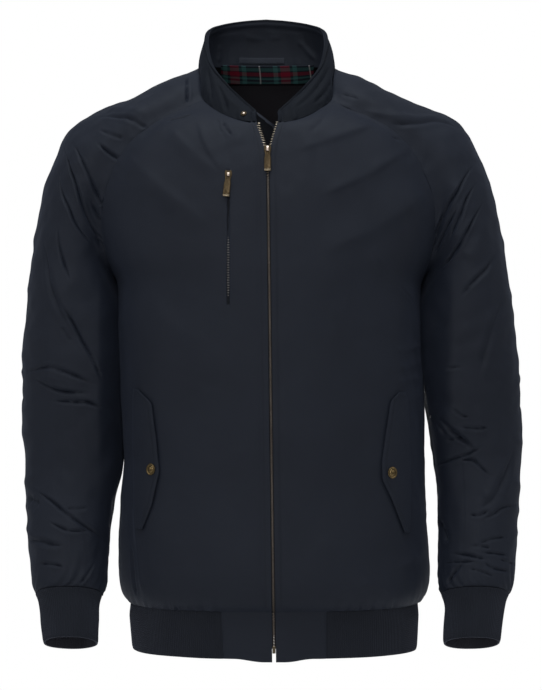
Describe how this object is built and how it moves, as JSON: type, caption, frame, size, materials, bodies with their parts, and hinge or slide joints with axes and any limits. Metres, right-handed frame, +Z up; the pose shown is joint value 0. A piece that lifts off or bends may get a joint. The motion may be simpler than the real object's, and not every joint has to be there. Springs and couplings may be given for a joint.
{
  "type": "harrington jacket",
  "caption": "Zip-front raglan jacket filled out as worn: stand collar, checked strip inside the neck, slanted snap flaps, vertical chest zip, ribbed cuffs and hem.",
  "frame": {"origin": "middle of the neck opening, level with the high point of the shoulders, where the wearer carries the jacket", "axes": "+Z up, the front faces -Y, +X to the wearer's left"},
  "size_m": [0.5983, 0.2681, 0.7648],
  "materials": {
    "shell": "fine navy plain weave with a slight sheen",
    "rib": "navy ribbed knit",
    "lining": "smooth dark plum-navy lining cloth",
    "check": "woven check in red, pink, teal and white on navy",
    "tape": "woven zip tape",
    "brass": "antique brass"
  },
  "bodies": {
    "jacket": {"front_right": "shell", "front_left": "shell", "back": "shell", "sleeve_right": "shell", "sleeve_left": "shell", "collar_outer": "shell", "collar_inner": "shell", "hem_tab_right": "shell", "hem_tab_left": "shell", "pocket_flap_right": "shell", "pocket_flap_left": "shell", "neck_loop": "shell", "cuff_right": "rib", "cuff_left": "rib", "hem_rib": "rib", "neck_facing": "lining", "wind_flap": "lining", "neck_tape": "check", "zip_tape_right": "tape", "zip_tape_left": "tape", "chest_zip_tape": "tape", "zip_slider": "brass", "zip_stop": "brass", "chest_zip_slider": "brass", "collar_snap": "brass", "flap_snap_right": "brass", "flap_snap_left": "brass"},
    "zip_pull_tab": {"zip_pull": "brass"},
    "chest_pull_tab": {"chest_zip_pull": "brass"}
  },
  "joints": [
    {"name": "zip_pull_swing", "type": "hinge", "parent": "jacket", "child": "zip_pull_tab", "pos_m": [-0.00393, -0.12107, -0.1072], "axis": [-1, 0, 0], "range_deg": [0, 160]},
    {"name": "chest_pull_swing", "type": "hinge", "parent": "jacket", "child": "chest_pull_tab", "pos_m": [-0.049, -0.12685, -0.1365], "axis": [-0.9945, 0, 0.1045], "range_deg": [0, 160]}
  ]
}
